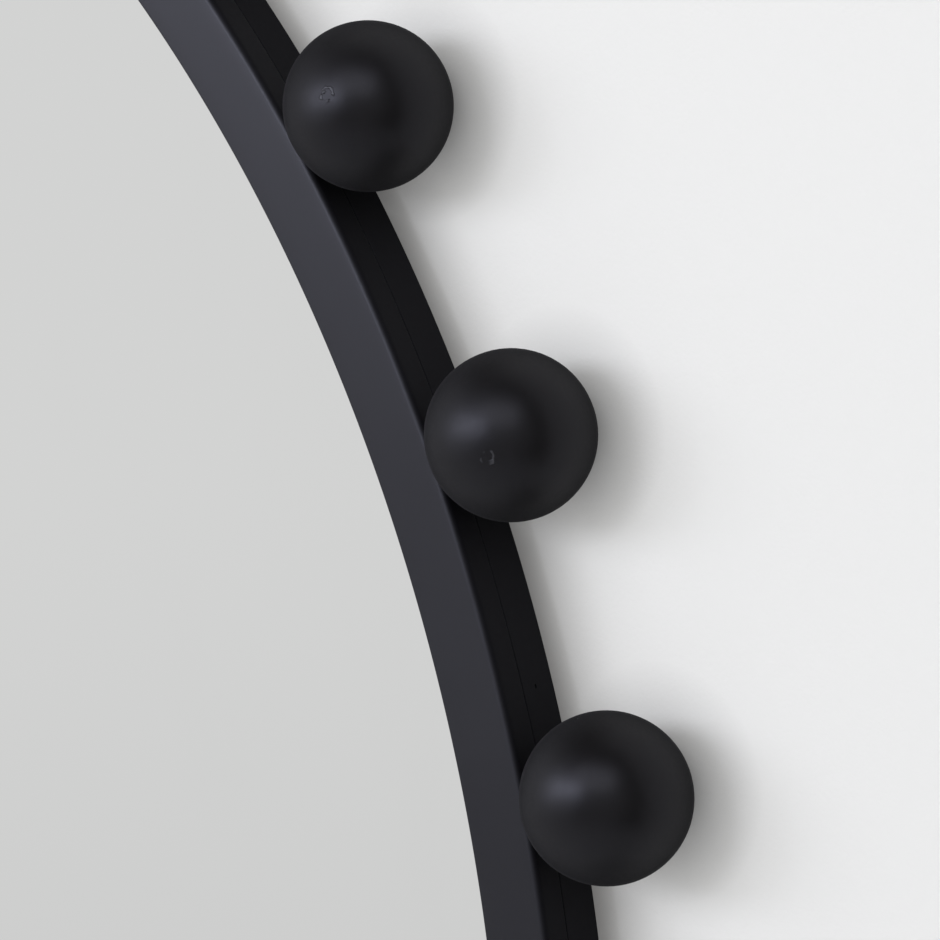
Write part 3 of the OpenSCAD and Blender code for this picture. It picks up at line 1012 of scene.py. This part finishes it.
class MIRROR_OT_rings(bpy.types.Operator):
    """Turns the front ring and the back ring, with the seam, the countersinks and the pin holes"""

    bl_idname = "ball_mirror.rings"
    bl_label = "Rings"

    def execute(self, context):
        sizes, finish = context.scene.ball_mirror_frame, context.scene.ball_mirror_finish
        outline, seam = front_outline(sizes)
        base = outline_mesh("front_ring_outline", outline, seam)
        front = grow("front_ring_turned", base, "front ring", {
            "Steps": sizes.steps, "Seam Wander": -sizes.seam_wander / 2, "Seed": SEAM_SEED,
            "Material": ring_paint(finish),
        })
        front.data.flip_normals()
        finish_piece(front, None, BODY, "black_ring", "front_ring")
        outline, seam = back_outline(sizes)
        sinks = [middle(box, box[1].y) for box in solids_of("ring_screws")]
        base = outline_mesh("back_ring_outline", outline, seam, {"sink": sinks, "pin": pin_places()})
        back = grow("back_ring_turned", base, "back ring", {
            "Steps": sizes.steps, "Seam Wander": sizes.seam_wander / 2, "Seed": SEAM_SEED,
            "Material": back_ring_finish(finish),
        })
        finish_piece(back, None, BODY, "black_ring", "back_ring")
        return {"FINISHED"}


# The balls

class MIRROR_OT_balls(bpy.types.Operator):
    """Sets the painted balls round the frame, each with its own turn and filler mark"""

    bl_idname = "ball_mirror.balls"
    bl_label = "Balls"

    def execute(self, context):
        balls, finish = context.scene.ball_mirror_balls, context.scene.ball_mirror_finish
        chooser = Random(SEED)
        places, twists, marks = [], [], []
        for number in range(1, len(BALL_NODES) + 1):
            angle = radians(90 - (number - 1) * 360 / len(BALL_NODES))
            centre = Vector((BALL_CIRCLE * cos(angle), BALL_Y, BALL_CIRCLE * sin(angle)))
            swing, tilt = chooser.uniform(-1.2, 1.2), chooser.uniform(-1.0, 1.0)
            turned = Vector((sin(swing), -cos(swing) * cos(tilt), sin(tilt)))
            toward = Vector(FILLER_MARKS.get(number, turned)).normalized()
            places.append(centre)
            twists.append(chooser.uniform(0, 2 * pi))
            marks.append(centre + toward * BALL_R)
        base = new_mesh("ball_places", [tuple(place) for place in places])
        set_marks(base, {"twist": twists, "mark_centre": marks})
        piece = grow("balls_painted", base, "balls", {
            "Radius": BALL_R, "Flat": BALL_FLAT, "Uneven": balls.uneven, "Detail": balls.detail,
            "Material": ball_paint(finish, balls),
        })
        finish_piece(piece, None, BODY, "black_ball", *BALL_NODES)
        dress_node("ball_dowels", plated_finish("dowel_steel", STEEL, 0.4))
        return {"FINISHED"}


# The glass and the back

class MIRROR_OT_glass(bpy.types.Operator):
    """Silvers the glass and finishes the tape that it lies on"""

    bl_idname = "ball_mirror.glass"
    bl_label = "Glass"

    def execute(self, context):
        dress_node("mirror_glass", silvered_glass(context.scene.ball_mirror_finish))
        dress_node("glazing_tape", foam_tape())
        return {"FINISHED"}


class MIRROR_OT_back(bpy.types.Operator):
    """Finishes the packing sheet and the backing board"""

    bl_idname = "ball_mirror.back"
    bl_label = "Back"

    def execute(self, context):
        finish = context.scene.ball_mirror_finish
        card = fibre_finish("raw_card", finish.card_colour, DARK_CARD, 2.5 * MM, 0.85)
        board = fibre_finish("hardboard", finish.board_colour, DARK_HARDBOARD, 1.4 * MM, 0.6)
        dress_node("packing_sheet", card)
        dress_node("backing_board", board)
        return {"FINISHED"}


# Screws and bumpers

def screw_spots(node):
    """The middle of each screw in a CAD node: its outline brings the depth."""
    return [middle(box, 0.0) for box in solids_of(node)]


def flat_screw_outline(radius, top, tip):
    """Half section of a countersunk screw, from its head's middle to its point and back up the axis."""
    head_y, shank = top - HEAD_SUNK, radius * 0.5
    return [
        (0.0, head_y), (radius * 0.8, head_y), (radius * 0.95, head_y - 0.05 * MM),
        (radius * 0.97, head_y - 0.2 * MM), (shank, head_y - 1.7 * MM),
        (shank, tip + 2 * MM), (0.25 * MM, tip), (0.0, tip),
    ]


def round_screw_outline(radius, top, tip):
    """Half section of a round headed screw, in the same order."""
    height, shank = HEAD_HEIGHT, radius * 0.42
    base = top - height
    dome = [
        (radius * share, base + 0.35 * height + 0.65 * height * sqrt(max(0.0, 1 - share ** 2.6)))
        for share in (0.0, 0.25, 0.45, 0.62, 0.76, 0.87, 0.95, 0.99)
    ]
    return dome + [
        (radius, base + 0.30 * height), (radius, base + 0.12 * height), (radius * 0.96, base), (shank, base),
        (shank, tip + 2 * MM), (0.25 * MM, tip), (0.0, tip),
    ]


def bumper_outline(radius, top, base, tip_radius):
    """Half section of a moulded bumper with rounded edges and a slightly hollow side."""
    bend, height = 0.9 * MM, top - base
    side = [
        (tip_radius + (radius - tip_radius) * (1 - share) ** 1.4, base + height * share)
        for share in (0.08, 0.2, 0.35, 0.5, 0.65, 0.8)
    ]
    side.reverse()
    tip = [(0.0, top), (tip_radius * 0.55, top)] + arc((tip_radius - bend, top - bend), bend, 90, 12)
    return tip + side + [(radius, base + 0.1 * MM), (radius - 0.1 * MM, base), (0.0, base)]


class MIRROR_OT_screws(bpy.types.Operator):
    """Drives the ring screws, the board screws and the hanger screws"""

    bl_idname = "ball_mirror.screws"
    bl_label = "Screws"

    def execute(self, context):
        finish = context.scene.ball_mirror_finish
        zinc = plated_finish("zinc_screw", finish.zinc_colour, 0.32)
        for node, kind in (("ring_screws", "flat"), ("board_screws", "round"), ("hanger_screws", "round")):
            lo, hi = solids_of(node)[0]
            radius = (hi.x - lo.x) / 2
            if kind == "flat":
                outline, top = flat_screw_outline(radius, hi.y, lo.y), hi.y - HEAD_SUNK
            else:
                outline, top = round_screw_outline(radius, hi.y, lo.y), hi.y
            base = outline_mesh(node + "_outline", outline, (), {"place": screw_spots(node)}, pi)
            piece = grow(node + "_turned", base, "studs", {
                "Steps": 36, "Cross Span": radius * 1.2, "Head Top": top, "Material": zinc,
            })
            finish_piece(piece, None, BODY, "zinc_screw", node)
        return {"FINISHED"}


class MIRROR_OT_bumpers(bpy.types.Operator):
    """Moulds the rubber bumpers that hold the frame off the wall"""

    bl_idname = "ball_mirror.bumpers"
    bl_label = "Bumpers"

    def execute(self, context):
        boxes = [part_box(node) for node in BUMPER_NODES]
        lo, hi = boxes[0]
        radius = (hi.x - lo.x) / 2
        outline = bumper_outline(radius, hi.y, lo.y, radius - 1 * MM)
        spots = [middle(box, 0.0) for box in boxes]
        base = outline_mesh("bumper_outline", outline, (), {"place": spots})
        piece = grow("rubber_bumpers", base, "studs", {
            "Steps": 64, "Material": moulded_rubber(context.scene.ball_mirror_finish),
        })
        finish_piece(piece, None, BODY, "bumper_rubber", *BUMPER_NODES)
        return {"FINISHED"}


# Hangers

def ring_line(pivot, node):
    """A hanging ring's middle line: a bar on the pivot, two corners, two sides and a half loop."""
    lo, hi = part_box(node)
    wire, bend = (hi.y - lo.y) / 2, 2.5 * MM
    loop = (hi.x - lo.x) / 2 - wire
    side_end = pivot.z - (hi.z - lo.z - 2 * wire - loop)
    turns = [((loop - bend, pivot.z - bend), bend, 90, 0, 8), ((0.0, side_end), loop, 0, -180, 36)]
    turns.append(((bend - loop, pivot.z - bend), bend, 180, 90, 8))
    points = [point for turn in turns for point in arc(*turn)]
    return [(pivot.x + x, pivot.y, z) for x, z in points], wire


def strap_path(pivot, lo, hi):
    """The strap's middle line in (depth, height), from its low end up and round the ring's bar."""
    plate_y, roll = lo.y + STRAP_THICK / 2, hi.z - pivot.z - STRAP_THICK / 2
    rise = pivot.y - roll
    path = [(plate_y, lo.z + (pivot.z - STRAP_BEND - lo.z) * share / 24) for share in range(25)]
    for share in (0.25, 0.5, 0.75):
        eased = share * share * (3 - 2 * share)
        path.append((plate_y + (rise - plate_y) * eased, pivot.z - STRAP_BEND * (1 - share)))
    turns = [radians(-90 + 10 * i) for i in range(31)]
    return path + [(pivot.y + roll * sin(a), pivot.z + roll * cos(a)) for a in turns]


def strap_mesh(name, pivot, lo, hi):
    """The folded strap: a rounded low end, a flat back and a knuckle rolled round the ring's bar."""
    half, corner = (hi.x - lo.x) / 2, STRAP_CORNER
    path = strap_path(pivot, lo, hi)
    across = [-1.0, -0.97, -0.9, -0.75, -0.5, -0.25, 0.0, 0.25, 0.5, 0.75, 0.9, 0.97, 1.0]
    sheet = bmesh.new()
    rows = []
    for y, z in path:
        up = max(0.0, corner - (z - lo.z)) if y < pivot.y - STRAP_THICK and z < lo.z + corner else 0.0
        width = half - (corner - sqrt(max(0.0, corner ** 2 - up ** 2)))
        rows.append([sheet.verts.new((pivot.x + width * share, y, z)) for share in across])
    for low, high in zip(rows, rows[1:]):
        for i in range(len(across) - 1):
            sheet.faces.new((low[i], low[i + 1], high[i + 1], high[i]))
    bmesh.ops.recalc_face_normals(sheet, faces=sheet.faces)
    mesh = bpy.data.meshes.new(name)
    sheet.to_mesh(mesh)
    sheet.free()
    return mesh


class MIRROR_OT_hangers(bpy.types.Operator):
    """Bends the hanging rings and folds the straps that hold them"""

    bl_idname = "ball_mirror.hangers"
    bl_label = "Hangers"

    def execute(self, context):
        finish = context.scene.ball_mirror_finish
        zinc = plated_finish("zinc_hanger", finish.zinc_colour, 0.30, 0.4 * MM)
        for side in SIDES:
            pivot, strap = PIVOTS["ring_" + side], "hanger_strap_" + side
            line, wire = ring_line(pivot, "d_ring_" + side)
            edges = [(i, (i + 1) % len(line)) for i in range(len(line))]
            base = new_mesh("ring_line_" + side, line, edges)
            ring = grow("hanging_ring_" + side, base, "wire", {
                "Wire Radius": wire, "Sides": 24, "Material": zinc,
            })
            finish_piece(ring, None, "ring_" + side, "zinc_hanger", "d_ring_" + side)
            lo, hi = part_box(strap)
            name = "folded_strap_" + side
            piece = new_object(name, strap_mesh(name, pivot, lo, hi))
            wall = piece.modifiers.new("Thickness", "SOLIDIFY")
            wall.thickness, wall.offset, wall.use_even_offset = STRAP_THICK, 0.0, True
            rounding = piece.modifiers.new("Edges", "BEVEL")
            rounding.width, rounding.segments, rounding.limit_method = 0.15 * MM, 3, "ANGLE"
            piece.data.polygons.foreach_set("use_smooth", [True] * len(piece.data.polygons))
            finish_piece(piece, zinc, BODY, "zinc_hanger", strap)
        return {"FINISHED"}


# The stage

def wall_with_hole():
    """A square wall whose middle is open behind the mirror, so that light reaches the object's back."""
    steps = 128
    inner, outer = [], []
    for i in range(steps):
        a = 2 * pi * i / steps
        stretch = WALL_REACH / max(abs(cos(a)), abs(sin(a)))
        inner.append((WALL_HOLE * cos(a), WALL_Y, WALL_HOLE * sin(a)))
        outer.append((stretch * cos(a), WALL_Y, stretch * sin(a)))
    faces = [(steps + i, steps + (i + 1) % steps, (i + 1) % steps, i) for i in range(steps)]
    return new_mesh("wall", inner + outer, (), faces)


def flat_floor(drop):
    """A floor in front of the wall, at its height under the mirror's middle."""
    left, right, front = -WALL_REACH, WALL_REACH, -FLOOR_DEPTH
    corners = [(left, front, -drop), (right, front, -drop), (right, 0.0, -drop), (left, 0.0, -drop)]
    return new_mesh("floor", corners, (), [(0, 1, 2, 3)])


def add_lamp(name, aim, place, watts, colour):
    """A broad soft lamp that shines at a place."""
    azimuth, elevation, distance, width, height = place
    across, up = radians(azimuth), radians(elevation)
    toward = Vector((sin(across) * cos(up), -cos(across) * cos(up), sin(up)))
    data = bpy.data.lights.new(name, "AREA")
    data.shape, data.size, data.size_y = "RECTANGLE", width, height
    data.energy, data.color = watts, colour
    lamp = new_object(name, data)
    lamp.location = aim + toward * distance
    lamp.rotation_euler = (-toward).to_track_quat("-Z", "Y").to_euler()


def make_world(settings):
    """A studio with a pale side and a dark side. The camera itself sees a plain backdrop."""
    world = bpy.data.worlds.new("studio")
    bpy.context.scene.world = world
    world.use_nodes = True
    tree = world.node_tree
    tree.nodes.clear()
    where = add(tree, "ShaderNodeTexCoord").outputs["Generated"]
    paleness = ramp(tree, vectors(tree, "DOT_PRODUCT", where, PALE_SIDE), *PALE_EDGES)
    behind = ramp(tree, vectors(tree, "DOT_PRODUCT", where, CAMERA_SIDE), *CAMERA_EDGES)
    room = mixed(tree, behind, tuple(settings.room_dark), tuple(settings.room_near))
    fade = ramp(tree, parts(tree, where)["Z"], *PALE_FADE)
    pale = scaled(tree, tuple(settings.room_pale[:3]), fade)
    room = mixed(tree, paleness, room, pale)
    lit = add(tree, "ShaderNodeBackground", None, {"Color": room}).outputs[0]
    plain = add(tree, "ShaderNodeBackground", None, {"Color": tuple(settings.backdrop)}).outputs[0]
    direct = add(tree, "ShaderNodeLightPath").outputs["Is Camera Ray"]
    chosen = add(tree, "ShaderNodeMixShader", None, {0: direct, 1: lit, 2: plain}).outputs[0]
    add(tree, "ShaderNodeOutputWorld", None, {"Surface": chosen})


def make_camera():
    """The photograph's camera: a long lens, to the right of the mirror and a little above its middle."""
    data = bpy.data.cameras.new("camera")
    data.lens, data.sensor_width = CAMERA_LENS, SENSOR_WIDTH
    camera = new_object("camera", data)
    turn = Matrix.Rotation(radians(CAMERA_AZIMUTH), 4, "Z")
    tip = Matrix.Rotation(radians(90 - CAMERA_ELEVATION), 4, "X")
    roll = Matrix.Rotation(radians(CAMERA_ROLL), 4, "Z")
    camera.matrix_world = Matrix.Translation(CAMERA_PLACE) @ turn @ tip @ roll
    bpy.context.scene.camera = camera


class MIRROR_OT_stage(bpy.types.Operator):
    """Sets up the camera, the wall, the floor, the lamps and the plain backdrop"""

    bl_idname = "ball_mirror.stage"
    bl_label = "Stage"

    def execute(self, context):
        settings = context.scene.ball_mirror_stage
        context.scene.view_settings.view_transform = "Standard"
        make_camera()
        wall = new_object("wall", wall_with_hole())
        floor = new_object("floor", flat_floor(settings.floor_drop))
        paint = finish_of_stage("wall_paint", settings.wall_colour, settings.wall_glow, 1.3 * MM, 0.09 * MM)
        wall.data.materials.append(paint)
        paint = finish_of_stage("floor_paint", settings.floor_colour, FLOOR_GLOW, 3 * MM, 0.01 * MM)
        floor.data.materials.append(paint)
        make_world(settings)
        for name, (aim, place, colour) in LAMPS.items():
            add_lamp(name + "_lamp", aim, place, getattr(settings, name + "_watts"), colour)
        return {"FINISHED"}


class MIRROR_PT_panel(bpy.types.Panel):
    """Lists the steps that build the mirror"""

    bl_idname = "MIRROR_PT_panel"
    bl_label = "Ball Mirror"
    bl_space_type = "VIEW_3D"
    bl_region_type = "UI"
    bl_category = "Ball Mirror"

    def draw(self, context):
        for step in STEPS:
            self.layout.operator(step.bl_idname)
        for name, group in SETTINGS.items():
            box = self.layout.box()
            for field in group.__annotations__:
                box.prop(getattr(context.scene, name), field)


SETTINGS = {
    "ball_mirror_frame": FrameSettings,
    "ball_mirror_balls": BallSettings,
    "ball_mirror_finish": FinishSettings,
    "ball_mirror_stage": StageSettings,
}
STEPS = (
    MIRROR_OT_stage, MIRROR_OT_rings, MIRROR_OT_balls, MIRROR_OT_glass,
    MIRROR_OT_back, MIRROR_OT_screws, MIRROR_OT_bumpers, MIRROR_OT_hangers,
)


def register():
    for kind in (*SETTINGS.values(), *STEPS, MIRROR_PT_panel):
        bpy.utils.register_class(kind)
    for name, group in SETTINGS.items():
        setattr(bpy.types.Scene, name, PointerProperty(type=group))


def unregister():
    for name in SETTINGS:
        delattr(bpy.types.Scene, name)
    for kind in reversed((*SETTINGS.values(), *STEPS, MIRROR_PT_panel)):
        bpy.utils.unregister_class(kind)


def main():
    """Builds the mirror step by step."""
    register()
    for step in STEPS:
        group, name = step.bl_idname.split(".")
        getattr(getattr(bpy.ops, group), name)()


if __name__ == "__main__":
    main()
